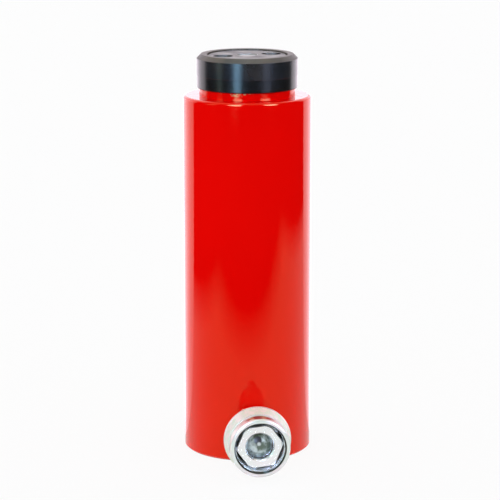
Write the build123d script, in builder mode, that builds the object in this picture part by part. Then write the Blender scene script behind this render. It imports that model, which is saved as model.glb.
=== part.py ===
from build123d import *
import os
from math import sqrt

os.makedirs("parts", exist_ok=True)

# A single-acting, spring-return hydraulic cylinder. Millimetres, with the origin at the
# centre of the base's bottom face, +Z up along the plunger and the coupler towards -Y.

# Barrel
bore_radius = 23.0
barrel_wall = 12.0
shoulder_fillet = 1.6
neck_thread_step = 1.0
neck_wall = 2.2
neck_height = 4.0
neck_mouth_chamfer = 0.6
base_chamfer = 1.0
bore_foot_chamfer = 0.8
thread_relief = 1.0

# Base bolt holes and oil port
base_hole_radius = 4.0
base_hole_depth = 12.7
base_hole_spacing = 47.8
port_height = 19.1
port_thread_radius = 8.4
port_roof = 6.5
port_thread_depth = 17.0
port_chamfer = 1.0
port_flat_depth = 1.5
oil_way_radius = 3.0
oil_riser_radius = 2.0
oil_riser_offset = 10.7

# Clearances
thread_clearance = 0.05
running_clearance = 0.05
metal_clearance = 0.3
groove_clearance = 0.1
floor_gap = 0.3
stop_gap = 0.3

# Gland ring
ring_overhang = 1.3
ring_height = 18.4
ring_bevel = 2.3
ring_step = 0.15
ring_step_height = 7.0
ring_edge_chamfer = 0.5
sleeve_length = 25.6
ring_mouth_margin = 2.0
ring_mouth_depth = 8.6
ring_mouth_chamfer = 0.3
wiper_groove_depth = 2.2
wiper_groove_height = 5.0
gland_groove_depth = 1.6
gland_groove_height = 10.0
gland_groove_offset = 10.0

# Rod wiper
wiper_heel = 1.5
wiper_lip_rise = 0.9
wiper_lip_thickness = 0.9

# Plunger
rod_step = 3.0
rod_chamfer = 0.6
stroke = 100.0
rod_wall = 7.0
plunger_cap_thickness = 13.5
saddle_socket_radius = 10.0
saddle_socket_depth = 12.5
spigot_step = 5.8
piston_chamfer = 0.4

# Piston's sealing and guide rings, from the plunger's lower end upwards
clip_land = 1.2
clip_thickness = 1.5
clip_groove_depth = 1.0
clip_width = 2.4
clip_gap = 10.0
retainer_thickness = 2.4
seal_height = 8.0
seal_notch_width = 2.4
seal_notch_depth = 3.2
backup_height = 3.0
guide_width = 7.2
guide_groove_depth = 1.6
lower_land = 3.4
middle_land = 3.8
upper_land = 3.7

# Return spring and its plugs
spring_wire_radius = 2.0
spring_side_gap = 0.8
spring_pitch = 16.0
wire_flats = 6
spring_end_gap = 4.0
plug_side_gap = 0.2
plug_length = 26.0
plug_chamfer = 1.0
plug_thread_radius = 5.0
lower_plug_thread_length = 8.0
upper_plug_thread_length = 8.0
plug_key_flats = 6.0
plug_key_depth = 6.0

# Saddle
saddle_side_gap = 0.4
saddle_thickness = 7.3
saddle_recess = 0.7
saddle_edge = 0.8
shank_length = 11.5
shank_chamfer = 0.8
shank_ring_section = 0.9
shank_ring_height = 4.0
pocket_radius = 5.4
pocket_depth = 4.5
pocket_margin = 2.1
pocket_angle = 16.6
centre_recess_radius = 5.5
centre_recess_depth = 0.6

# Coupler body
wrench_gap = 3.5
wrench_flats = 24.0
wrench_length = 11.5
wrench_corner_trim = 0.56
wrench_chamfer = 0.8
flange_rise = 2.9
flange_length = 5.2
flange_chamfer = 0.5
shank_wall = 1.6
body_bore_radius = 3.5
ball_spring_chamber_depth = 8.0
nose_thread_depth = 11.2

# Coupler nose
nose_flat_wall = 1.1125
nose_hex_length = 10.2
nose_hex_angle = 7.0
nose_corner_trim = 1.0
nose_corner_chamfer = 0.6
nose_spigot_length = 9.4
nose_spigot_wall = 1.35
socket_step = 0.3
nose_bore_depth = 4.8
nose_mouth_chamfer = 0.7
nose_groove_offset = 0.3
nose_groove_width = 2.0
nose_groove_depth = 1.5
seat_step = 1.0375
seat_land = 0.4

# Coupler collar
collar_lip = 4.4
collar_bore_gap = 0.5
collar_front_wall = 2.8
collar_rim_rise = 2.15
collar_rim_width = 1.5
collar_taper_rise = 0.3
collar_taper_length = 8.2
collar_groove_width = 1.2
collar_groove_depth = 0.3
collar_nose_radius = 1.1
collar_reach = 3.5
collar_edge = 0.5
collar_mouth_chamfer = 0.8
collar_play = 0.3

# Coupler's ball, spring and seals
ball_radius = 7.9375
ball_gap = 0.15
ball_side_gap = 0.55
ball_spring_inset = 1.944
ball_spring_wire_radius = 0.65
ball_spring_side_gap = 0.55
ball_spring_turns = 4
nose_seal_section = 0.85
body_seal_section = 0.85
seal_flats = 6

# Radii that follow, from the bore outwards and inwards
barrel_radius = bore_radius + barrel_wall
neck_thread_radius = bore_radius + neck_thread_step
neck_radius = neck_thread_radius + neck_wall
ring_radius = neck_radius + ring_overhang
sleeve_radius = neck_thread_radius - thread_clearance
rod_radius = bore_radius - rod_step
ring_mouth_radius = rod_radius + ring_mouth_margin
gland_bore_radius = rod_radius + metal_clearance
gland_groove_radius = gland_bore_radius + gland_groove_depth
wiper_groove_radius = ring_mouth_radius + wiper_groove_depth
piston_radius = bore_radius - metal_clearance
guide_groove_radius = piston_radius - guide_groove_depth
seal_radius = bore_radius - running_clearance
spigot_radius = bore_radius - spigot_step
clip_inner_radius = spigot_radius - clip_groove_depth + groove_clearance
seal_centre_radius = (spigot_radius + seal_radius) / 2
plunger_bore_radius = rod_radius - rod_wall
spring_radius = plunger_bore_radius - spring_side_gap - spring_wire_radius
plug_radius = spring_radius - spring_wire_radius - plug_side_gap
plug_thread_fit = plug_thread_radius - thread_clearance
saddle_radius = ring_mouth_radius - saddle_side_gap
pocket_circle_radius = saddle_radius - pocket_margin - pocket_radius
saddle_shank_radius = saddle_socket_radius - running_clearance
shank_groove_radius = saddle_shank_radius - 2 * shank_ring_section
shank_groove_width = 2 * shank_ring_section + 2 * groove_clearance

# Heights that follow, from the base up: floor, piston, stroke, gland and saddle
floor_height = port_height + port_thread_radius + port_roof
plunger_bottom = floor_height + floor_gap
clip_bottom = plunger_bottom + clip_land
retainer_bottom = clip_bottom + clip_thickness
seal_bottom = retainer_bottom + retainer_thickness
backup_bottom = seal_bottom + seal_height
piston_shoulder = backup_bottom + backup_height
lower_guide_bottom = piston_shoulder + lower_land
upper_guide_bottom = lower_guide_bottom + guide_width + middle_land
piston_top = upper_guide_bottom + guide_width + upper_land
sleeve_bottom = piston_top + stroke + stop_gap
neck_top = sleeve_bottom + sleeve_length
shoulder_height = neck_top - neck_height
ring_top = neck_top + ring_height
wiper_top = ring_top - ring_mouth_depth
wiper_bottom = wiper_top - wiper_groove_height
gland_groove_bottom = sleeve_bottom + gland_groove_offset
gland_groove_top = gland_groove_bottom + gland_groove_height
rod_top = ring_top - saddle_recess - saddle_thickness
socket_floor = rod_top - saddle_socket_depth
cap_underside = socket_floor - plunger_cap_thickness
shank_groove_bottom = rod_top - shank_length + shank_ring_height
spring_bottom = floor_height + spring_end_gap + spring_wire_radius
spring_top = cap_underside - spring_end_gap - spring_wire_radius
lower_plug_end = floor_height - lower_plug_thread_length
upper_plug_end = cap_underside + upper_plug_thread_length

# Coupler radii that follow, from the ball and the nose's hexagon outwards
seat_radius = ball_radius - seat_step
nose_bore_radius = seat_radius + socket_step
ball_chamber_radius = ball_radius + ball_side_gap
nose_thread_radius = ball_chamber_radius + nose_spigot_wall + thread_clearance
shank_radius = nose_thread_radius + shank_wall
flange_radius = shank_radius + flange_rise
ball_spring_radius = ball_radius - ball_spring_inset
ball_spring_chamber_radius = ball_spring_radius + ball_spring_wire_radius + ball_spring_side_gap
wrench_corner_radius = wrench_flats / sqrt(3) - wrench_corner_trim
nose_flats = 2 * (nose_thread_radius + nose_flat_wall)
nose_corner = nose_flats / sqrt(3)
collar_bore_radius = nose_corner + collar_bore_gap
collar_front_radius = collar_bore_radius + collar_front_wall
collar_taper_radius = collar_front_radius + collar_taper_rise
collar_radius = collar_front_radius + collar_rim_rise

# Distances from the barrel's axis along the coupler
port_face = barrel_radius - port_flat_depth
port_end = port_face - port_thread_depth
wrench_back = barrel_radius + wrench_gap
flange_back = wrench_back + wrench_length
flange_front = flange_back + flange_length
collar_back = flange_front + collar_play
shank_front = collar_back + collar_lip + collar_play
nose_front = shank_front + nose_hex_length
collar_front = nose_front + collar_reach
bore_step = nose_front - nose_bore_depth
nose_groove_front = bore_step + nose_groove_offset + nose_groove_width
collar_taper_back = collar_back + collar_rim_width
collar_groove_back = collar_taper_back + collar_taper_length
collar_groove_front = collar_groove_back + collar_groove_width
seat_edge = bore_step - seat_land
nose_back = shank_front - nose_spigot_length
nose_thread_end = shank_front - nose_thread_depth
ball_spring_seat = nose_thread_end - ball_spring_chamber_depth
ball_centre = seat_edge - sqrt(ball_radius**2 - seat_radius**2) - ball_gap
ball_to_coil = ball_radius + ball_spring_wire_radius + ball_gap
ball_spring_front = ball_centre - sqrt(ball_to_coil**2 - ball_spring_radius**2)
ball_spring_back = ball_spring_seat + ball_spring_wire_radius

# Turned profiles are drawn as (radius, height) or (radius, distance) in these half planes.
upright = Plane.XZ
sideways = Plane(origin=(0, 0, port_height), x_dir=(0, 0, 1), z_dir=(1, 0, 0))
coupler_axis = Axis((0, 0, port_height), (0, -1, 0))


def facing(distance):
    """Plane across the coupler, this far out from the barrel's axis."""
    return Plane(origin=(0, -distance, port_height), x_dir=(1, 0, 0), z_dir=(0, -1, 0))


# Barrel: closed base, plain bore, threaded neck, oil port and base bolt holes
with BuildPart() as barrel:
    with BuildSketch(upright):
        with BuildLine():
            FilletPolyline(
                (0, 0),
                (barrel_radius - base_chamfer, 0),
                (barrel_radius, base_chamfer),
                (barrel_radius, shoulder_height),
                (neck_radius, shoulder_height),
                (neck_radius, neck_top),
                (neck_thread_radius + neck_mouth_chamfer, neck_top),
                (neck_thread_radius, neck_top - neck_mouth_chamfer),
                (neck_thread_radius, sleeve_bottom - thread_relief),
                (bore_radius, sleeve_bottom - thread_relief),
                (bore_radius, floor_height + bore_foot_chamfer),
                (bore_radius - bore_foot_chamfer, floor_height),
                (plug_thread_radius, floor_height),
                (plug_thread_radius, lower_plug_end - thread_relief),
                (0, lower_plug_end - thread_relief),
                radius=[0, 0, 0, shoulder_fillet] + [0] * 11,
                close=True,
            )
        make_face()
    revolve(axis=Axis.Z)
    with GridLocations(base_hole_spacing, 0, 2, 1):
        Cylinder(
            base_hole_radius,
            base_hole_depth,
            align=(Align.CENTER, Align.CENTER, Align.MIN),
            mode=Mode.SUBTRACT,
        )
    with BuildSketch(sideways):
        with BuildLine():
            Polyline(
                (0, barrel_radius + 1),
                (port_thread_radius + 2 * port_chamfer, barrel_radius + 1),
                (port_thread_radius + 2 * port_chamfer, port_face),
                (port_thread_radius + port_chamfer, port_face),
                (port_thread_radius, port_face - port_chamfer),
                (port_thread_radius, port_end),
                (oil_way_radius, port_end),
                (oil_way_radius, oil_riser_offset - oil_way_radius),
                (0, oil_riser_offset - oil_way_radius),
                close=True,
            )
        make_face()
    revolve(axis=coupler_axis, mode=Mode.SUBTRACT)
    with BuildSketch(Plane.XY.offset(port_height)):
        with Locations((0, -oil_riser_offset)):
            Circle(oil_riser_radius)
    extrude(amount=floor_height - port_height, mode=Mode.SUBTRACT)

# Gland ring: bevelled head with the saddle's mouth and wiper groove, and a threaded sleeve
with BuildPart() as gland_ring:
    with BuildSketch(upright):
        with BuildLine():
            Polyline(
                (gland_bore_radius, sleeve_bottom),
                (sleeve_radius - ring_edge_chamfer, sleeve_bottom),
                (sleeve_radius, sleeve_bottom + ring_edge_chamfer),
                (sleeve_radius, neck_top),
                (ring_radius - ring_step - ring_edge_chamfer, neck_top),
                (ring_radius - ring_step, neck_top + ring_edge_chamfer),
                (ring_radius - ring_step, neck_top + ring_step_height),
                (ring_radius, neck_top + ring_step_height + ring_step),
                (ring_radius, ring_top - ring_bevel),
                (ring_radius - ring_bevel, ring_top),
                (ring_mouth_radius + ring_mouth_chamfer, ring_top),
                (ring_mouth_radius, ring_top - ring_mouth_chamfer),
                (ring_mouth_radius, wiper_top),
                (wiper_groove_radius, wiper_top),
                (wiper_groove_radius, wiper_bottom),
                (gland_bore_radius, wiper_bottom),
                (gland_bore_radius, gland_groove_top),
                (gland_groove_radius, gland_groove_top),
                (gland_groove_radius, gland_groove_bottom),
                (gland_bore_radius, gland_groove_bottom),
                close=True,
            )
        make_face()
    revolve(axis=Axis.Z)

# Rod wiper: a heel held in its groove and a thin raised lip round the rod
with BuildPart() as rod_wiper:
    with BuildSketch(upright):
        with BuildLine():
            Polyline(
                (rod_radius + wiper_heel, wiper_bottom),
                (wiper_groove_radius - groove_clearance, wiper_bottom),
                (wiper_groove_radius - groove_clearance, wiper_top),
                (ring_mouth_radius - groove_clearance, wiper_top),
                (rod_radius + wiper_lip_thickness, wiper_top + wiper_lip_rise / 2),
                (rod_radius + running_clearance, wiper_top + wiper_lip_rise / 2),
                (rod_radius + running_clearance, wiper_top - wiper_lip_rise),
                close=True,
            )
        make_face()
    revolve(axis=Axis.Z)

# Plunger: hollow rod closed at the top, with the piston turned on its lower end
with BuildPart() as plunger:
    with BuildSketch(upright):
        with BuildLine():
            Polyline(
                (plunger_bore_radius, plunger_bottom),
                (spigot_radius - piston_chamfer, plunger_bottom),
                (spigot_radius, plunger_bottom + piston_chamfer),
                (spigot_radius, clip_bottom),
                (spigot_radius - clip_groove_depth, clip_bottom),
                (spigot_radius - clip_groove_depth, retainer_bottom),
                (spigot_radius, retainer_bottom),
                (spigot_radius, piston_shoulder),
                (piston_radius, piston_shoulder),
                (piston_radius, lower_guide_bottom),
                (guide_groove_radius, lower_guide_bottom),
                (guide_groove_radius, lower_guide_bottom + guide_width),
                (piston_radius, lower_guide_bottom + guide_width),
                (piston_radius, upper_guide_bottom),
                (guide_groove_radius, upper_guide_bottom),
                (guide_groove_radius, upper_guide_bottom + guide_width),
                (piston_radius, upper_guide_bottom + guide_width),
                (piston_radius, piston_top - piston_chamfer),
                (piston_radius - piston_chamfer, piston_top),
                (rod_radius, piston_top),
                (rod_radius, rod_top - rod_chamfer),
                (rod_radius - rod_chamfer, rod_top),
                (saddle_socket_radius + rod_chamfer, rod_top),
                (saddle_socket_radius, rod_top - rod_chamfer),
                (saddle_socket_radius, socket_floor),
                (0, socket_floor),
                (0, upper_plug_end + thread_relief),
                (plug_thread_radius, upper_plug_end + thread_relief),
                (plug_thread_radius, cap_underside),
                (plunger_bore_radius, cap_underside),
                close=True,
            )
        make_face()
    revolve(axis=Axis.Z)

# Piston seal: a U-cup with its notch down towards the oil
with BuildPart() as piston_seal:
    with BuildSketch(upright):
        with BuildLine():
            Polyline(
                (spigot_radius + groove_clearance, seal_bottom),
                (seal_centre_radius - seal_notch_width / 2, seal_bottom),
                (seal_centre_radius, seal_bottom + seal_notch_depth),
                (seal_centre_radius + seal_notch_width / 2, seal_bottom),
                (seal_radius, seal_bottom),
                (seal_radius, backup_bottom),
                (spigot_radius + groove_clearance, backup_bottom),
                close=True,
            )
        make_face()
    revolve(axis=Axis.Z)

# Retainer clip: a snap ring with an open gap, sprung into the spigot's groove
with BuildPart() as retainer_clip:
    with BuildSketch(Plane.XY.offset(clip_bottom)):
        Circle(clip_inner_radius + clip_width)
        Circle(clip_inner_radius, mode=Mode.SUBTRACT)
        with Locations((clip_inner_radius + clip_width / 2, 0)):
            Rectangle(3 * clip_width, clip_gap, mode=Mode.SUBTRACT)
    extrude(amount=clip_thickness)

# Plain rings: each is (inner radius, outer radius, bottom, height)
plain_rings = {
    "seal_retainer": (
        spigot_radius + groove_clearance,
        piston_radius,
        retainer_bottom,
        retainer_thickness,
    ),
    "seal_backup_ring": (
        spigot_radius + groove_clearance,
        seal_radius,
        backup_bottom,
        backup_height,
    ),
    "piston_guide_lower": (
        guide_groove_radius + groove_clearance,
        seal_radius,
        lower_guide_bottom,
        guide_width,
    ),
    "piston_guide_upper": (
        guide_groove_radius + groove_clearance,
        seal_radius,
        upper_guide_bottom,
        guide_width,
    ),
    "gland_guide": (
        rod_radius + running_clearance,
        gland_groove_radius - groove_clearance,
        gland_groove_bottom,
        gland_groove_height,
    ),
}
for name, (inner, outer, bottom, height) in plain_rings.items():
    with BuildPart() as ring:
        with BuildSketch(Plane.XY.offset(bottom)):
            Circle(outer)
            Circle(inner, mode=Mode.SUBTRACT)
        extrude(amount=height)
    ring.part.label = name
    export_step(ring.part, f"parts/{name}.step")

# Return spring: an extension spring inside the plunger, its end coils round the two plugs
with BuildPart() as return_spring:
    with BuildLine() as coil:
        Helix(
            pitch=spring_pitch,
            height=spring_top - spring_bottom,
            radius=spring_radius,
            center=(0, 0, spring_bottom),
        )
    with BuildSketch(Plane(origin=coil.line @ 0, z_dir=coil.line % 0)):
        RegularPolygon(spring_wire_radius, wire_flats)
    sweep(is_frenet=True)

# Lower spring plug: threaded into the barrel's floor, with a hexagon key socket on top
with BuildPart() as lower_spring_plug:
    with BuildSketch(upright):
        with BuildLine():
            Polyline(
                (0, lower_plug_end),
                (plug_thread_fit, lower_plug_end),
                (plug_thread_fit, floor_height),
                (plug_radius, floor_height),
                (plug_radius, floor_height + plug_length - plug_chamfer),
                (plug_radius - plug_chamfer, floor_height + plug_length),
                (0, floor_height + plug_length),
                close=True,
            )
        make_face()
    revolve(axis=Axis.Z)
    with BuildSketch(Plane.XY.offset(floor_height + plug_length)):
        RegularPolygon(plug_key_flats / 2, 6, major_radius=False)
    extrude(amount=-plug_key_depth, mode=Mode.SUBTRACT)

# Upper spring plug: the same plug the other way up, threaded into the plunger's cap
with BuildPart() as upper_spring_plug:
    with BuildSketch(upright):
        with BuildLine():
            Polyline(
                (0, upper_plug_end),
                (plug_thread_fit, upper_plug_end),
                (plug_thread_fit, cap_underside),
                (plug_radius, cap_underside),
                (plug_radius, cap_underside - plug_length + plug_chamfer),
                (plug_radius - plug_chamfer, cap_underside - plug_length),
                (0, cap_underside - plug_length),
                close=True,
            )
        make_face()
    revolve(axis=Axis.Z)
    with BuildSketch(Plane.XY.offset(cap_underside - plug_length)):
        RegularPolygon(plug_key_flats / 2, 6, major_radius=False)
    extrude(amount=plug_key_depth, mode=Mode.SUBTRACT)

# Saddle: load pad with a plain shank, two spanner pockets and a centre recess
with BuildPart() as saddle:
    with BuildSketch(upright):
        with BuildLine():
            Polyline(
                (0, rod_top - shank_length),
                (saddle_shank_radius - shank_chamfer, rod_top - shank_length),
                (saddle_shank_radius, rod_top - shank_length + shank_chamfer),
                (saddle_shank_radius, shank_groove_bottom),
                (shank_groove_radius, shank_groove_bottom),
                (shank_groove_radius, shank_groove_bottom + shank_groove_width),
                (saddle_shank_radius, shank_groove_bottom + shank_groove_width),
                (saddle_shank_radius, rod_top),
                (saddle_radius, rod_top),
                (saddle_radius, rod_top + saddle_thickness - saddle_edge),
                (saddle_radius - saddle_edge, rod_top + saddle_thickness),
                (0, rod_top + saddle_thickness),
                close=True,
            )
        make_face()
    revolve(axis=Axis.Z)
    with BuildSketch(Plane.XY.offset(rod_top + saddle_thickness)):
        with PolarLocations(pocket_circle_radius, 2, start_angle=pocket_angle):
            Circle(pocket_radius)
    extrude(amount=-pocket_depth, mode=Mode.SUBTRACT)
    with BuildSketch(Plane.XY.offset(rod_top + saddle_thickness)):
        Circle(centre_recess_radius)
    extrude(amount=-centre_recess_depth, mode=Mode.SUBTRACT)

# Coupler body: port thread, wrench hexagon, collar stop and shank with the nose's thread
with BuildPart() as coupler_body:
    with BuildSketch(facing(wrench_back)):
        RegularPolygon(wrench_flats / 2, 6, major_radius=False)
    extrude(amount=wrench_length)
    with BuildSketch(sideways):
        with BuildLine():
            Polyline(
                (0, wrench_back),
                (wrench_corner_radius - wrench_chamfer, wrench_back),
                (wrench_corner_radius, wrench_back + wrench_chamfer),
                (wrench_corner_radius, flange_back - wrench_chamfer),
                (wrench_corner_radius - wrench_chamfer, flange_back),
                (0, flange_back),
                close=True,
            )
        make_face()
    revolve(axis=coupler_axis, mode=Mode.INTERSECT)
    with BuildSketch(sideways):
        with BuildLine():
            Polyline(
                (0, port_end + thread_relief),
                (port_thread_radius - thread_clearance, port_end + thread_relief),
                (port_thread_radius - thread_clearance, flange_back),
                (flange_radius, flange_back),
                (flange_radius, flange_front - flange_chamfer),
                (flange_radius - flange_chamfer, flange_front),
                (shank_radius, flange_front),
                (shank_radius, shank_front),
                (0, shank_front),
                close=True,
            )
        make_face()
    revolve(axis=coupler_axis)
    with BuildSketch(sideways):
        with BuildLine():
            Polyline(
                (0, port_end + thread_relief),
                (body_bore_radius, port_end + thread_relief),
                (body_bore_radius, ball_spring_seat),
                (ball_spring_chamber_radius, ball_spring_seat),
                (ball_spring_chamber_radius, nose_thread_end),
                (nose_thread_radius, nose_thread_end),
                (nose_thread_radius, shank_front),
                (0, shank_front),
                close=True,
            )
        make_face()
    revolve(axis=coupler_axis, mode=Mode.SUBTRACT)

# Coupler nose: front hexagon with the socket, its seal groove and the ball's seat
with BuildPart() as coupler_nose:
    with BuildSketch(facing(shank_front)):
        RegularPolygon(nose_flats / 2, 6, major_radius=False, rotation=nose_hex_angle)
    extrude(amount=nose_hex_length)
    with BuildSketch(facing(shank_front)):
        Circle(nose_thread_radius - thread_clearance)
    extrude(amount=-nose_spigot_length)
    with BuildSketch(sideways):
        with BuildLine():
            Polyline(
                (nose_corner - nose_corner_trim, nose_front),
                (nose_corner + nose_corner_trim, nose_front),
                (nose_corner + nose_corner_trim, nose_front - 2 * nose_corner_chamfer),
                close=True,
            )
        make_face()
    revolve(axis=coupler_axis, mode=Mode.SUBTRACT)
    with BuildSketch(sideways):
        with BuildLine():
            Polyline(
                (0, nose_front),
                (nose_bore_radius + nose_mouth_chamfer, nose_front),
                (nose_bore_radius, nose_front - nose_mouth_chamfer),
                (nose_bore_radius, nose_groove_front),
                (nose_bore_radius + nose_groove_depth, nose_groove_front),
                (nose_bore_radius + nose_groove_depth, nose_groove_front - nose_groove_width),
                (nose_bore_radius, nose_groove_front - nose_groove_width),
                (nose_bore_radius, bore_step),
                (seat_radius, bore_step),
                (seat_radius, seat_edge),
                (ball_chamber_radius, seat_edge - (ball_chamber_radius - seat_radius)),
                (ball_chamber_radius, nose_back),
                (0, nose_back),
                close=True,
            )
        make_face()
    revolve(axis=coupler_axis, mode=Mode.SUBTRACT)

# Coupler collar: inner lip, rear rim, tapered grip, groove and rounded front edge
with BuildPart() as coupler_collar:
    with BuildSketch(sideways):
        with BuildLine():
            Polyline(
                (shank_radius + collar_play, collar_back),
                (collar_radius - collar_edge, collar_back),
                (collar_radius, collar_back + collar_edge),
                (collar_radius, collar_taper_back),
                (collar_taper_radius, collar_groove_back),
                (collar_front_radius - collar_groove_depth, collar_groove_back),
                (collar_front_radius - collar_groove_depth, collar_groove_front),
                (collar_front_radius, collar_groove_front),
                (collar_front_radius, collar_front - collar_nose_radius),
            )
            TangentArc(
                (collar_front_radius, collar_front - collar_nose_radius),
                (collar_front_radius - collar_nose_radius, collar_front),
                tangent=(0, 1),
            )
            Polyline(
                (collar_front_radius - collar_nose_radius, collar_front),
                (collar_bore_radius + collar_mouth_chamfer, collar_front),
                (collar_bore_radius, collar_front - collar_mouth_chamfer),
                (collar_bore_radius, collar_back + collar_lip),
                (shank_radius + collar_play, collar_back + collar_lip),
                (shank_radius + collar_play, collar_back),
            )
        make_face()
    revolve(axis=coupler_axis)

# Check ball, held on its seat by the spring behind it
with BuildPart() as coupler_ball:
    with BuildSketch(sideways):
        with Locations((0, ball_centre)):
            Circle(ball_radius)
        with Locations((-ball_radius, ball_centre)):
            Rectangle(2 * ball_radius, 2 * ball_radius, mode=Mode.SUBTRACT)
    revolve(axis=coupler_axis)

# Ball spring: a compression spring between the coupler body and the ball
with BuildPart() as coupler_spring:
    with BuildLine() as small_coil:
        Helix(
            pitch=(ball_spring_front - ball_spring_back) / ball_spring_turns,
            height=ball_spring_front - ball_spring_back,
            radius=ball_spring_radius,
            center=(0, -ball_spring_back, port_height),
            direction=(0, -1, 0),
        )
    with BuildSketch(Plane(origin=small_coil.line @ 0, z_dir=small_coil.line % 0)):
        RegularPolygon(ball_spring_wire_radius, wire_flats)
    sweep(is_frenet=True)

# Ring seals, drawn with a few flats round the section, as they are squeezed in their grooves.
# Each is (plane, axis, ring radius, place along the axis, section radius).
ring_seals = {
    "saddle_ring": (
        upright,
        Axis.Z,
        shank_groove_radius + shank_ring_section,
        shank_groove_bottom + shank_groove_width / 2,
        shank_ring_section,
    ),
    "coupler_nose_seal": (
        sideways,
        coupler_axis,
        nose_bore_radius + nose_groove_depth - nose_seal_section - running_clearance,
        nose_groove_front - nose_groove_width / 2,
        nose_seal_section,
    ),
    "coupler_body_seal": (
        sideways,
        coupler_axis,
        nose_thread_radius - body_seal_section - running_clearance,
        (nose_back + nose_thread_end) / 2,
        body_seal_section,
    ),
}
for name, (plane, axis, ring_centre, place, section) in ring_seals.items():
    with BuildPart() as seal:
        with BuildSketch(plane):
            with Locations((ring_centre, place)):
                RegularPolygon(section, seal_flats)
        revolve(axis=axis)
    seal.part.label = name
    export_step(seal.part, f"parts/{name}.step")

# Label and write the pieces made above one by one
pieces = {
    "barrel": barrel,
    "gland_ring": gland_ring,
    "rod_wiper": rod_wiper,
    "plunger": plunger,
    "piston_seal": piston_seal,
    "retainer_clip": retainer_clip,
    "return_spring": return_spring,
    "lower_spring_plug": lower_spring_plug,
    "upper_spring_plug": upper_spring_plug,
    "saddle": saddle,
    "coupler_body": coupler_body,
    "coupler_nose": coupler_nose,
    "coupler_collar": coupler_collar,
    "coupler_ball": coupler_ball,
    "coupler_spring": coupler_spring,
}
for name, piece in pieces.items():
    piece.part.label = name
    export_step(piece.part, f"parts/{name}.step")
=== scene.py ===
# %% [markdown]
# A small hydraulic jack: a red steel cylinder with a black gland ring and saddle
# on top, and a zinc-plated screw coupler near its base. The imported solids come in
# as a fixed frame, already in metres, and this lesson gives them their looks. The
# first cell loads them.

# %% Load the imported solids
import bpy
import bmesh
from math import cos, pi, radians, sin
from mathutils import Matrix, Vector


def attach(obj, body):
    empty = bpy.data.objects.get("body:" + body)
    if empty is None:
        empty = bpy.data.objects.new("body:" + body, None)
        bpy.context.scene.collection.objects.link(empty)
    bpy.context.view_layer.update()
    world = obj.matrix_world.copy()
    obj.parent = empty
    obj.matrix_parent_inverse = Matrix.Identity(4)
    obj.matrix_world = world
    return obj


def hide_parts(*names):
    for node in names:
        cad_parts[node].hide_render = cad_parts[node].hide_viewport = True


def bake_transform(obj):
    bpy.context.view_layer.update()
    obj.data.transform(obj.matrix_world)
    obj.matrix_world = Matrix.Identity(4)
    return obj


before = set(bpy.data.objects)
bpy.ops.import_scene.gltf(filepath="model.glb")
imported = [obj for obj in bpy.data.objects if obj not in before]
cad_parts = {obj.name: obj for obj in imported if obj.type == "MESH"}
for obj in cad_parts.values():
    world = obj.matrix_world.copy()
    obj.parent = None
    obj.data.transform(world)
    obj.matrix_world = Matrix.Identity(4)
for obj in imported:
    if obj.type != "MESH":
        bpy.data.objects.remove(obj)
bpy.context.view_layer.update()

# %% [markdown]
# The camera stands a little over a metre away and looks down by twelve degrees.
# The coupler points a few degrees to its right, so the camera is placed on a
# circle round the cylinder, that far off the coupler's line. A long lens keeps the
# upright edges almost parallel, as in a catalogue picture.

# %% Camera
PICTURE = 500
FOCAL_PIXELS = 2119.0
CAMERA_DISTANCE = 1.147
CAMERA_HEIGHT = 0.356
CAMERA_TILT = 12.06
CAMERA_TURN = 5.5
CAMERA_PAN = 0.076
SENSOR = 36.0

camera_data = bpy.data.cameras.new("camera")
camera_data.sensor_width = SENSOR
camera_data.lens = FOCAL_PIXELS * SENSOR / PICTURE
camera_data.clip_start = 0.01
camera = bpy.data.objects.new("camera", camera_data)
camera.location = (
    -CAMERA_DISTANCE * sin(radians(CAMERA_TURN)),
    -CAMERA_DISTANCE * cos(radians(CAMERA_TURN)),
    CAMERA_HEIGHT,
)
camera.rotation_euler = (radians(90 - CAMERA_TILT), 0, -radians(CAMERA_TURN + CAMERA_PAN))
bpy.context.scene.collection.objects.link(camera)
bpy.context.scene.camera = camera
bpy.context.scene.view_settings.view_transform = "Standard"
print("lens", round(camera_data.lens, 1), "mm")

# %% [markdown]
# Materials here are built from a few kinds of node again and again, so short
# helpers make a material with its shader, add a node, and join two sockets. They
# keep every finish below down to the lines that say what is special about it.

# %% Helpers for materials


def new_finish(name, colour, **sockets):
    """A material and its Principled shader, with plain values set on the shader's own sockets."""
    material = bpy.data.materials.new(name)
    material.use_nodes = True
    shader = material.node_tree.nodes["Principled BSDF"]
    shader.inputs["Base Color"].default_value = (*colour, 1)
    for socket, value in sockets.items():
        shader.inputs[socket.replace("_", " ")].default_value = value
    return material, shader


def node(material, kind, **settings):
    """A new node of this kind, with attributes and, by socket name or number, input values."""
    made = material.node_tree.nodes.new("ShaderNode" + kind)
    for key, value in settings.items():
        if key == "inputs":
            for socket, number in value.items():
                made.inputs[socket].default_value = number
        else:
            setattr(made, key, value)
    return made


def join(material, source, target):
    """Connect an output socket to an input socket."""
    material.node_tree.links.new(source, target)


def object_place(material, scale=(1, 1, 1), location=(0, 0, 0)):
    """Object coordinates through a Mapping node."""
    place = node(material, "TexCoord")
    mapping = node(material, "Mapping", inputs={"Scale": scale, "Location": location})
    join(material, place.outputs["Object"], mapping.inputs["Vector"])
    return mapping.outputs["Vector"]


def split_place(material, vector):
    """The X, Y and Z of a vector."""
    split = node(material, "SeparateXYZ")
    join(material, vector, split.inputs["Vector"])
    return split.outputs["X"], split.outputs["Y"], split.outputs["Z"]


def noise(material, vector, scale, detail=2.0, roughness=0.5):
    """A noise texture's value."""
    made = node(
        material, "TexNoise", inputs={"Scale": scale, "Detail": detail, "Roughness": roughness}
    )
    join(material, vector, made.inputs["Vector"])
    return made.outputs["Fac"]


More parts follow.
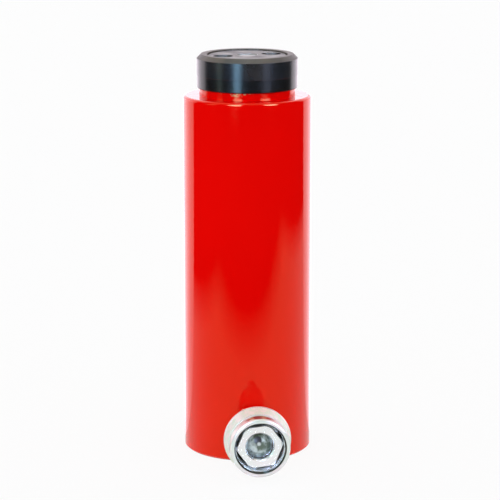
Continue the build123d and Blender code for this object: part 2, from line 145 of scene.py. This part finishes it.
def ramp(material, value, low, high, start=0.0, end=1.0):
    """Map a value from start..end to low..high, clamped."""
    made = node(
        material,
        "MapRange",
        inputs={"From Min": start, "From Max": end, "To Min": low, "To Max": high},
    )
    join(material, value, made.inputs["Value"])
    return made.outputs["Result"]


def maths(material, operation, first, second=None):
    """A Math node on sockets or plain numbers."""
    made = node(material, "Math", operation=operation)
    for index, term in enumerate((first, second)):
        if term is None:
            continue
        if isinstance(term, (int, float)):
            made.inputs[index].default_value = term
        else:
            join(material, term, made.inputs[index])
    return made.outputs[0]


def product(material, first, *others):
    """Several masks multiplied together."""
    for other in others:
        first = maths(material, "MULTIPLY", first, other)
    return first


def blend_colours(material, amount, first, second):
    """Mix two colours, each a socket or a plain colour."""
    made = node(material, "Mix", data_type="RGBA")
    join(material, amount, made.inputs["Factor"])
    for socket, colour in ((6, first), (7, second)):
        if isinstance(colour, tuple):
            made.inputs[socket].default_value = (*colour, 1)
        else:
            join(material, colour, made.inputs[socket])
    return made.outputs[2]


def add_bump(material, shader, height, strength, distance):
    """A Bump node between a height and the shader's normal."""
    made = node(material, "Bump", inputs={"Strength": strength, "Distance": distance})
    join(material, height, made.inputs["Height"])
    join(material, made.outputs["Normal"], shader.inputs["Normal"])


def radius_about(material, first, second):
    """Distance from an axis, from the two coordinates across it."""
    squares = maths(
        material,
        "ADD",
        maths(material, "MULTIPLY", first, first),
        maths(material, "MULTIPLY", second, second),
    )
    return maths(material, "SQRT", squares)


def finish_nodes(material, *names):
    """Give these CAD nodes the material."""
    for name in names:
        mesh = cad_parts[name].data
        mesh.materials.clear()
        mesh.materials.append(material)


print("helpers ready")

# %% [markdown]
# The barrel is sprayed with glossy red enamel. Enamel has a sharp reflection with a
# faint orange-peel ripple, so a fine noise drives a weak bump, and a broad one
# shifts the red a little. On the short neck under the ring the coat is lumpy, and
# small tan chips show the primer; the same tan spots are also a painted reflection
# of the tan glints along the top of the neck.

# %% Red enamel
NECK_FOOT = 0.1976
NECK_TOP = 0.2016

enamel, shader = new_finish("red_enamel", (0.8, 0.001, 0.0005), Roughness=0.05, IOR=1.5)
shader.inputs["Specular Tint"].default_value = (1.0, 0.72, 0.3, 1)
place = object_place(enamel)
height = split_place(enamel, place)[2]
shade = ramp(enamel, noise(enamel, place, 14.0), 0.0, 1.0, 0.3, 0.7)
red = blend_colours(enamel, shade, (0.78, 0.0006, 0.0003), (0.83, 0.0012, 0.0006))
# Tan spots just under the ring: real chipped paint, and in part a painted reflection of tan glints.
chip_glint_zone = ramp(enamel, height, 0.0, 1.0, NECK_TOP - 0.002, NECK_TOP - 0.001)
chip_glint_group = ramp(enamel, noise(enamel, place, 75.0), 0.0, 1.0, 0.47, 0.53)
chip_glint_spots = ramp(enamel, noise(enamel, place, 340.0, detail=3.0), 0.0, 1.0, 0.58, 0.61)
chips_and_glints = product(enamel, chip_glint_spots, chip_glint_group, chip_glint_zone)
join(enamel, blend_colours(enamel, chips_and_glints, red, (0.5, 0.33, 0.18)), shader.inputs["Base Color"])
lump_zone = ramp(enamel, height, 0.0, 40.0, NECK_FOOT - 0.0002, NECK_FOOT + 0.001)
lumps = product(enamel, noise(enamel, place, 260.0, detail=1.0), lump_zone)
peel = maths(enamel, "ADD", noise(enamel, place, 420.0, detail=1.0), lumps)
add_bump(enamel, shader, peel, 0.035, 0.0004)
finish_nodes(enamel, "barrel")
print("painted", enamel.name)

# %% [markdown]
# The gland ring is turned steel with a black oxide finish, polished by handling.
# Turning leaves fine rings, so the noise is stretched: it changes quickly with
# height and hardly at all round the ring. Its lower band, below a small step, is
# painted darker, a painted reflection of the darker surroundings. The bevel and
# top face are browner and rougher. The saddle has the same finish, but loads have
# worn it to grey, in uneven patches, and its centre recess is painted lighter to
# cancel the shade inside it.

# %% Black oxide on turned steel
RING_STEP = 0.2086
RING_BEVEL = 0.2177

oxide, shader = new_finish("black_oxide", (0.012, 0.014, 0.018), Roughness=0.16, IOR=1.65)
place = object_place(oxide)
height = split_place(oxide, place)[2]
rings = noise(oxide, object_place(oxide, scale=(1, 1, 60)), 45.0, detail=3.0)
# Below the step the colour is painted darker: a painted reflection of darker surroundings.
painted_dark_band = ramp(oxide, height, 1.0, 0.0, RING_STEP - 0.0001, RING_STEP + 0.0001)
# From the bevel's foot upwards the finish is browner and rougher.
above_bevel = ramp(oxide, height, 0.0, 1.0, RING_BEVEL - 0.0001, RING_BEVEL + 0.0001)
satin = maths(oxide, "ADD", ramp(oxide, rings, 0.19, 0.26, 0.3, 0.7), product(oxide, above_bevel, 0.3))
join(oxide, satin, shader.inputs["Roughness"])
handled = ramp(oxide, noise(oxide, place, 60.0, detail=3.0), 0.0, 1.0, 0.35, 0.7)
fresh = blend_colours(oxide, handled, (0.010, 0.013, 0.018), (0.026, 0.024, 0.024))
fresh = blend_colours(oxide, painted_dark_band, fresh, (0.006, 0.007, 0.008))
brown = blend_colours(oxide, handled, (0.02, 0.015, 0.008), (0.07, 0.052, 0.03))
join(oxide, blend_colours(oxide, above_bevel, fresh, brown), shader.inputs["Base Color"])
add_bump(oxide, shader, rings, 0.03, 0.0003)
finish_nodes(oxide, "gland_ring")

CENTRE_RECESS = 0.0055

worn_oxide, shader = new_finish("worn_oxide", (0.2, 0.2, 0.2), Roughness=0.5, Metallic=0.3)
place = object_place(worn_oxide)
across, along, _ = split_place(worn_oxide, place)
patches = ramp(worn_oxide, noise(worn_oxide, place, 110.0, detail=4.0), 0.0, 1.0, 0.4, 0.65)
from_axis = radius_about(worn_oxide, across, along)
# Inside the centre recess the colour is painted lighter: painted light that cancels the shade in the
# recess.
painted_recess_light = ramp(worn_oxide, from_axis, 1.0, 0.0, CENTRE_RECESS, CENTRE_RECESS + 0.0005)
grey = blend_colours(worn_oxide, patches, (0.03, 0.029, 0.026), (0.2, 0.195, 0.18))
join(
    worn_oxide,
    blend_colours(worn_oxide, painted_recess_light, grey, (0.4, 0.39, 0.37)),
    shader.inputs["Base Color"],
)
turning = maths(worn_oxide, "SINE", product(worn_oxide, from_axis, 9000.0))
add_bump(worn_oxide, shader, turning, 0.05, 0.0001)
finish_nodes(worn_oxide, "saddle")
print("blackened the ring and saddle")

# %% [markdown]
# The coupler is plated with bright zinc, a pale metal with a faint green and rose
# tint that drifts over the surface. Old oil and painted shade darken the thread deep
# in the collar's bore and at its mouth, so that material also looks at the distance
# from the coupler's axis.

# %% Zinc plate
COUPLER_HEIGHT = 0.0191
COLLAR_BORE = 0.0132
COLLAR_MOUTH = 0.01395
SHANK_FRONT = 0.0602
DARK_BORE_FRONT = 0.0655
DARK_MOUTH_BACK = 0.0700
LENS_SHADE_PLACE = (0.0, -0.0692, 0.016)
LENS_SHADE_LENGTH = 0.0035
LENS_SHADE_WIDTH = 0.0085


def zinc_finish(name, roughness, metallic, green, rose, drift_scale):
    """Zinc plate with its drifting tint: returns the material, its shader and the tint."""
    material, shader = new_finish(name, green, Roughness=roughness, Metallic=metallic)
    drift = noise(material, object_place(material), drift_scale, detail=2.0)
    tint = blend_colours(material, ramp(material, drift, 0.0, 1.0, 0.38, 0.62), green, rose)
    join(material, tint, shader.inputs["Base Color"])
    return material, shader, tint


zinc, shader, _ = zinc_finish("zinc_plate", 0.2, 0.75, (0.91, 0.95, 0.94), (0.96, 0.93, 0.95), 90.0)
add_bump(zinc, shader, noise(zinc, object_place(zinc), 900.0), 0.03, 0.0002)
finish_nodes(zinc, "coupler_body", "coupler_nose")

collar_zinc, shader, tint = zinc_finish(
    "collar_zinc", 0.2, 0.4, (0.78, 0.85, 0.80), (0.86, 0.80, 0.83), 90.0
)
across, along, height = split_place(
    collar_zinc, object_place(collar_zinc, location=(0, 0, -COUPLER_HEIGHT))
)
from_axis = radius_about(collar_zinc, across, height)
# Deep in the bore and at its mouth the thread is darkened: old oil and painted shade.
in_bore = ramp(collar_zinc, from_axis, 1.0, 0.0, COLLAR_MOUTH, COLLAR_MOUTH + 0.0001)
out = maths(collar_zinc, "MULTIPLY", along, -1.0)
past_shank = ramp(collar_zinc, out, 0.0, 1.0, SHANK_FRONT - 0.001, SHANK_FRONT - 0.0006)
deep = ramp(collar_zinc, out, 1.0, 0.0, DARK_BORE_FRONT, DARK_BORE_FRONT + 0.0005)
mouth = ramp(collar_zinc, out, 0.0, 1.0, DARK_MOUTH_BACK, DARK_MOUTH_BACK + 0.0005)
oil_and_painted_shade = product(collar_zinc, in_bore, past_shank, maths(collar_zinc, "MAXIMUM", deep, mouth))
# A darker, less metallic patch on top of the collar: painted shade that dims the barrel's red
# reflection there.
above = ramp(collar_zinc, height, 0.0, 1.0, 0.0, 0.001)
aside = maths(collar_zinc, "DIVIDE", across, LENS_SHADE_WIDTH)
ahead = maths(
    collar_zinc, "DIVIDE", maths(collar_zinc, "ADD", along, -LENS_SHADE_PLACE[1]), LENS_SHADE_LENGTH
)
from_lens_shade = radius_about(collar_zinc, aside, ahead)
painted_lens_shade = product(collar_zinc, above, ramp(collar_zinc, from_lens_shade, 1.0, 0.0, 0.6, 1.0))
join(collar_zinc, ramp(collar_zinc, painted_lens_shade, 0.3, 0.9), shader.inputs["Metallic"])
plated = blend_colours(collar_zinc, painted_lens_shade, tint, (0.28, 0.21, 0.18))
join(
    collar_zinc,
    blend_colours(collar_zinc, oil_and_painted_shade, plated, (0.03, 0.032, 0.025)),
    shader.inputs["Base Color"],
)
finish_nodes(collar_zinc, "coupler_collar")

grip_zinc, shader, _ = zinc_finish(
    "grip_zinc", 0.42, 0.4, (0.66, 0.76, 0.62), (0.86, 0.78, 0.74), 320.0
)
print("plated the coupler")

# %% [markdown]
# The check ball is hard steel, filmed with old oil in grey-green clouds. Inside,
# where nobody looks often, the plunger is chromed, the springs and plugs are plain
# steel, and the seals and guides are rubber, urethane and bonded strip.

# %% Ball, springs and seals
DARK_REFLECTION_SPOT = (-0.00094, -0.06837, 0.02221)
HIGHLIGHT_SPOT = (-0.0004, -0.0691, 0.0203)

ball_steel, shader = new_finish("ball_steel", (0.4, 0.43, 0.4), Roughness=0.4, Specular_IOR_Level=0.25)
place = object_place(ball_steel)
clouds = noise(ball_steel, place, 300.0, detail=3.0)


def spot(centre, inner, outer):
    """One near this point on the ball, fading out between two distances."""
    away = node(ball_steel, "VectorMath", operation="DISTANCE", inputs={1: centre})
    join(ball_steel, place, away.inputs[0])
    return ramp(ball_steel, away.outputs["Value"], 1.0, 0.0, inner, outer)


oil_and_painted_light = blend_colours(
    ball_steel,
    ramp(ball_steel, clouds, 0.0, 1.0, 0.4, 0.6),
    (0.12, 0.16, 0.12),
    (0.62, 0.7, 0.68),
)
# A dark patch on the side facing the camera is a painted reflection of the tent's dark front.
oil_and_painted_light = blend_colours(ball_steel, spot(DARK_REFLECTION_SPOT, 0.0018, 0.0025), oil_and_painted_light, (0.02, 0.016, 0.016))
# A small pale spot beside it is a painted highlight.
oil_and_painted_light = blend_colours(ball_steel, spot(HIGHLIGHT_SPOT, 0.0006, 0.0013), oil_and_painted_light, (0.66, 0.72, 0.72))
join(ball_steel, oil_and_painted_light, shader.inputs["Base Color"])
finish_nodes(ball_steel, "coupler_ball")

chrome, shader = new_finish("hard_chrome", (0.78, 0.78, 0.8), Roughness=0.14, Metallic=0.6)
grinding = noise(chrome, object_place(chrome, scale=(1, 1, 80)), 40.0, detail=2.0)
join(chrome, ramp(chrome, grinding, 0.1, 0.2, 0.3, 0.7), shader.inputs["Roughness"])
finish_nodes(chrome, "plunger")

turned_steel, shader = new_finish("turned_steel", (0.45, 0.45, 0.46), Metallic=1.0)
film = noise(turned_steel, object_place(turned_steel), 150.0, detail=3.0)
join(turned_steel, ramp(turned_steel, film, 0.25, 0.5, 0.3, 0.7), shader.inputs["Roughness"])
finish_nodes(
    turned_steel,
    "seal_retainer",
    "retainer_clip",
    "return_spring",
    "coupler_spring",
    "lower_spring_plug",
    "upper_spring_plug",
)


def soft_finish(name, dark, light, roughness, *names):
    """A matt finish that wanders between two close colours, on these CAD nodes."""
    material, shader = new_finish(name, dark, Roughness=roughness)
    mottle = noise(material, object_place(material), 300.0, detail=3.0)
    join(material, blend_colours(material, mottle, dark, light), shader.inputs["Base Color"])
    finish_nodes(material, *names)


soft_finish(
    "nitrile_rubber",
    (0.012, 0.012, 0.012),
    (0.03, 0.03, 0.03),
    0.6,
    "rod_wiper",
    "saddle_ring",
    "coupler_nose_seal",
    "coupler_body_seal",
)
soft_finish("amber_seal", (0.42, 0.24, 0.04), (0.6, 0.38, 0.1), 0.4, "piston_seal")
soft_finish(
    "guide_strip",
    (0.18, 0.03, 0.02),
    (0.3, 0.07, 0.04),
    0.6,
    "seal_backup_ring",
    "gland_guide",
    "piston_guide_lower",
    "piston_guide_upper",
)
print("materials:", len(bpy.data.materials))

# %% [markdown]
# The solids have plain bores where the real jack has threads. A thread is one
# ridge wound round its bore: a small triangle, pointing at the axis, is spun about
# the axis and moved along it at the same time. The triangle's foot lies a little
# inside the wall, so no gap shows there.

# %% Threads
STEPS_PER_TURN = 48
FOOT_DEPTH = 0.0001


def add_piece(name, mesh_code, material, body):
    """Turn a bmesh into an object that rides on a body."""
    bmesh.ops.recalc_face_normals(mesh_code, faces=mesh_code.faces)
    data = bpy.data.meshes.new(name)
    mesh_code.to_mesh(data)
    mesh_code.free()
    data.materials.append(material)
    piece = bpy.data.objects.new(name, data)
    bpy.context.scene.collection.objects.link(piece)
    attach(piece, body)
    return piece


def thread_ridge(start, axis, across, bore, crest, pitch, turns):
    """A closed ridge wound round an axis, from start on the axis, as a bmesh."""
    ridge = bmesh.new()
    foot = start + across * (bore + FOOT_DEPTH)
    corners = [
        ridge.verts.new(foot - axis * pitch * 0.4),
        ridge.verts.new(start + across * crest),
        ridge.verts.new(foot + axis * pitch * 0.4),
    ]
    section = ridge.faces.new(corners)
    bmesh.ops.spin(
        ridge,
        geom=[*corners, *section.edges, section],
        cent=start,
        axis=axis,
        dvec=axis * pitch / STEPS_PER_TURN,
        angle=2 * pi * turns,
        steps=int(turns * STEPS_PER_TURN),
    )
    return ridge


COLLAR_THREAD_START = 0.0612
COLLAR_THREAD_CREST = 0.01288
COLLAR_THREAD_PITCH = 0.0018
COLLAR_THREAD_TURNS = 6

outward = Vector((0, -1, 0))
thread = thread_ridge(
    Vector((0, -COLLAR_THREAD_START, COUPLER_HEIGHT)),
    outward,
    Vector((1, 0, 0)),
    COLLAR_BORE,
    COLLAR_THREAD_CREST,
    COLLAR_THREAD_PITCH,
    COLLAR_THREAD_TURNS,
)
add_piece("collar_thread", thread, zinc, "collar")

BASE_HOLE_PLACE = 0.0239
BASE_HOLE_RADIUS = 0.004
BASE_THREAD_CREST = 0.0036
BASE_THREAD_PITCH = 0.0015875
BASE_THREAD_START = 0.0012
BASE_THREAD_TURNS = 6

for side, name in ((-1, "base_thread_left"), (1, "base_thread_right")):
    thread = thread_ridge(
        Vector((side * BASE_HOLE_PLACE, 0, BASE_THREAD_START)),
        Vector((0, 0, 1)),
        Vector((1, 0, 0)),
        BASE_HOLE_RADIUS,
        BASE_THREAD_CREST,
        BASE_THREAD_PITCH,
        BASE_THREAD_TURNS,
    )
    add_piece(name, thread, turned_steel, "barrel")
print("threads cut")

# %% [markdown]
# The collar is turned by hand, so its taper is knurled: fine pyramids in a diamond
# pattern. A sheet of points wraps round the taper, and every second point of each
# row is lifted. Each square between four points is split along its two low
# corners, which leaves a pyramid round each lifted one. Two rows inside the metal
# close the band.

# %% Knurled grip
GRIP_BACK = 0.0573
GRIP_FRONT = 0.0650
GRIP_BACK_RADIUS = 0.01808
GRIP_FRONT_RADIUS = 0.01634
GRIP_RISE = 0.00016
GRIP_SINK = 0.0003
GRIP_COLUMNS = 168
GRIP_ROWS = 13

band = bmesh.new()


def grip_row(row, share, sink):
    """One ring of points round the taper, with every second one lifted."""
    radius = GRIP_BACK_RADIUS + share * (GRIP_FRONT_RADIUS - GRIP_BACK_RADIUS) - sink
    out = GRIP_BACK + share * (GRIP_FRONT - GRIP_BACK)
    points = []
    for column in range(GRIP_COLUMNS):
        turn = 2 * pi * column / GRIP_COLUMNS
        lifted = (row + column) % 2 == 0 and 0 < share < 1 and not sink
        reach = radius + (GRIP_RISE if lifted else 0)
        points.append(band.verts.new((reach * sin(turn), -out, COUPLER_HEIGHT + reach * cos(turn))))
    return points


grid = [grip_row(row, row / GRIP_ROWS, 0) for row in range(GRIP_ROWS + 1)]
grid += [grip_row(0, 1, GRIP_SINK), grip_row(0, 0, GRIP_SINK)]
for row, points in enumerate(grid):
    beyond = grid[(row + 1) % len(grid)]
    for column in range(GRIP_COLUMNS):
        after = (column + 1) % GRIP_COLUMNS
        a, b, c, d = points[column], points[after], beyond[after], beyond[column]
        if (row + column) % 2:
            halves = ((a, b, c), (a, c, d))
        else:
            halves = ((a, b, d), (b, c, d))
        for half in halves:
            band.faces.new(half)
add_piece("collar_knurl", band, grip_zinc, "collar")
print("knurled the collar")

# %% [markdown]
# Two springs change length when the jack works: the long one inside the plunger,
# and the small one behind the check ball. The solids' springs are rigid, so each is
# copied, its loose triangles are joined, and the copy is shown in place of the
# solid, which is hidden.

# %% Springs


def springy_copy(name, solid):
    """A copy of a spring, with its loose triangles joined, shown in place of the hidden solid."""
    wire = bmesh.new()
    wire.from_mesh(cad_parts[solid].data)
    bmesh.ops.remove_doubles(wire, verts=wire.verts, dist=MERGE_DISTANCE)
    data = bpy.data.meshes.new(name)
    wire.to_mesh(data)
    wire.free()
    data.materials.append(turned_steel)
    spring = bpy.data.objects.new(name, data)
    bpy.context.scene.collection.objects.link(spring)
    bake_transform(spring)
    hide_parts(solid)


MERGE_DISTANCE = 0.000001

springy_copy(
    "stretching_spring", "return_spring"
)
springy_copy(
    "ball_spring",
    "coupler_spring",
)

# %% [markdown]
# The jack stands on a sheet of white card, in a white tent that is open and dark on
# the camera's side. The enamel shows all of this. Its reflections go downwards, so
# the lower half of the barrel mirrors the card, the upper half the dark floor
# beyond it, and both edges the bright floor and wall behind. Only the reflected
# floor has these zones. To the camera it is plain white, with a faint shadow.

# %% Floor
FLOOR_SIZE = 3.0
FLOOR_FRONT = 0.5
CARD_LEFT = -0.38
CARD_RIGHT = 0.6
CARD_FRONT = -0.3
CARD_SOFT = 0.08
BACK_ANGLE = 114.5
BACK_LEAN = 4.5
WHITE_SHARE = 0.93

floor_mesh = bmesh.new()
bmesh.ops.create_grid(floor_mesh, x_segments=1, y_segments=1, size=FLOOR_SIZE)
for corner in floor_mesh.verts:
    if corner.co.y < 0:
        corner.co.y = -FLOOR_FRONT
floor_data = bpy.data.meshes.new("floor")
floor_mesh.to_mesh(floor_data)
floor_mesh.free()
floor = bpy.data.objects.new("floor", floor_data)
bpy.context.scene.collection.objects.link(floor)


def back_light(tree, around):
    """The bright back's colour, stronger straight behind the jack than at the tent's sides."""
    aside = maths(tree, "ABSOLUTE", around)
    straight = ramp(tree, aside, 0.0, 1.0, radians(118), radians(146))
    return blend_colours(tree, straight, (1.5, 1.4, 1.5), (2.1, 1.9, 2.1))


def towards_back(tree, across, along):
    """One on the back side of the tent and nought on the front, by the angle from the camera."""
    around = maths(tree, "ARCTAN2", across, maths(tree, "MULTIPLY", along, -1.0))
    aside = maths(tree, "ABSOLUTE", maths(tree, "SUBTRACT", around, radians(BACK_LEAN)))
    return around, ramp(tree, aside, 0.0, 1.0, radians(BACK_ANGLE), radians(BACK_ANGLE + 2))


card, shader = new_finish("white_card", (0.9, 0.9, 0.9), Roughness=0.9)
floor_data.materials.append(card)
place = node(card, "Mapping", inputs={"Rotation": (0, 0, radians(CAMERA_TURN))})
join(card, node(card, "TexCoord").outputs["Object"], place.inputs["Vector"])
across, along, _ = split_place(card, place.outputs["Vector"])
on_card = product(
    card,
    ramp(card, across, 0.0, 1.0, CARD_LEFT - CARD_SOFT, CARD_LEFT + CARD_SOFT),
    ramp(card, across, 1.0, 0.0, CARD_RIGHT - CARD_SOFT, CARD_RIGHT + CARD_SOFT),
    ramp(card, along, 0.0, 1.0, CARD_FRONT - CARD_SOFT, CARD_FRONT + CARD_SOFT),
)
around, behind = towards_back(card, across, along)
lit_card = blend_colours(card, on_card, (0.01, 0.01, 0.01), (0.92, 0.92, 0.92))
mirrored = node(card, "Emission")
lit = blend_colours(card, behind, lit_card, back_light(card, around))
join(card, lit, mirrored.inputs["Color"])
white = node(card, "Emission", inputs={"Color": (0.985, 0.985, 0.985, 1)})
rays = node(card, "LightPath")
seen = node(card, "MixShader")
join(card, product(card, rays.outputs["Is Camera Ray"], WHITE_SHARE), seen.inputs["Fac"])
join(card, shader.outputs["BSDF"], seen.inputs[1])
join(card, white.outputs["Emission"], seen.inputs[2])
surface = node(card, "MixShader")
join(card, rays.outputs["Is Glossy Ray"], surface.inputs["Fac"])
join(card, seen.outputs["Shader"], surface.inputs[1])
join(card, mirrored.outputs["Emission"], surface.inputs[2])
join(card, surface.outputs["Shader"], card.node_tree.nodes["Material Output"].inputs["Surface"])
print("floor ready")

# %% [markdown]
# The light is all in the world. Diffuse surfaces get an even white from everywhere,
# a little stronger from the left. Shiny ones see the tent itself: its bright back,
# a warm roof light, and two tall lamps in front, left and right of the camera.

# %% World light
LEFT_LAMP = -23
RIGHT_LAMP = 45
LAMP_HALF_WIDTH = 9
LAMP_SOFT = 5
STAND_HALF_WIDTH = 5
STAND_FOOT = -0.1365
STAND_FADE = 0.01
SIDE_STAND = -68
LAMP_BOTTOM = (0.15, 0.2)
LAMP_TOP = (0.55, 0.65)
ROOF_EDGE = (0.72, 0.82)

world = bpy.data.worlds.new("studio")
bpy.context.scene.world = world
world.use_nodes = True
sky = world.node_tree.nodes["Background"]
place = node(world, "Mapping", inputs={"Rotation": (0, 0, radians(CAMERA_TURN))})
join(world, node(world, "TexCoord").outputs["Generated"], place.inputs["Vector"])
across, along, height = split_place(world, place.outputs["Vector"])
around, behind = towards_back(world, across, along)


def upright(angle, half_width):
    """One inside a soft-edged strip at this angle from the camera."""
    off = maths(world, "ABSOLUTE", maths(world, "SUBTRACT", around, radians(angle)))
    return ramp(world, off, 1.0, 0.0, radians(half_width), radians(half_width + LAMP_SOFT))


def add_stand(mirrored, angle, colour):
    """A pale upright whose foot fades out."""
    rise = ramp(world, height, 0.0, 1.0, STAND_FOOT, STAND_FOOT + STAND_FADE)
    stand = product(world, upright(angle, STAND_HALF_WIDTH), rise)
    return blend_colours(world, stand, mirrored, colour)


def add_lamp(mirrored, angle, stand_colour):
    """A tall lamp at this angle from the camera, on a pale stand."""
    lamp = product(
        world,
        upright(angle, LAMP_HALF_WIDTH),
        ramp(world, height, 0.0, 1.0, *LAMP_BOTTOM),
        ramp(world, height, 1.0, 0.0, *LAMP_TOP),
    )
    mirrored = add_stand(mirrored, angle, stand_colour)
    return blend_colours(world, lamp, mirrored, (20.0, 25.0, 36.0))


mirrored = blend_colours(world, behind, (0.012, 0.012, 0.014), back_light(world, around))
roof = ramp(world, height, 0.0, 1.0, *ROOF_EDGE)
mirrored = blend_colours(world, roof, mirrored, (1.0, 0.9, 0.75))
mirrored = add_stand(mirrored, SIDE_STAND, (1.0, 1.4, 1.3))
mirrored = add_lamp(mirrored, LEFT_LAMP, (3.6, 7.0, 10.0))
mirrored = add_lamp(mirrored, RIGHT_LAMP, (1.0, 1.1, 1.5))
even = blend_colours(
    world, ramp(world, across, 0.0, 1.0, -1.0, 1.0), (1.12, 1.12, 1.12), (0.84, 0.84, 0.84)
)
rays = node(world, "LightPath")
unseen = blend_colours(world, rays.outputs["Is Glossy Ray"], even, mirrored)
light = blend_colours(world, rays.outputs["Is Camera Ray"], unseen, (0.978, 0.978, 0.978))
join(world, light, sky.inputs["Color"])
print("world ready")
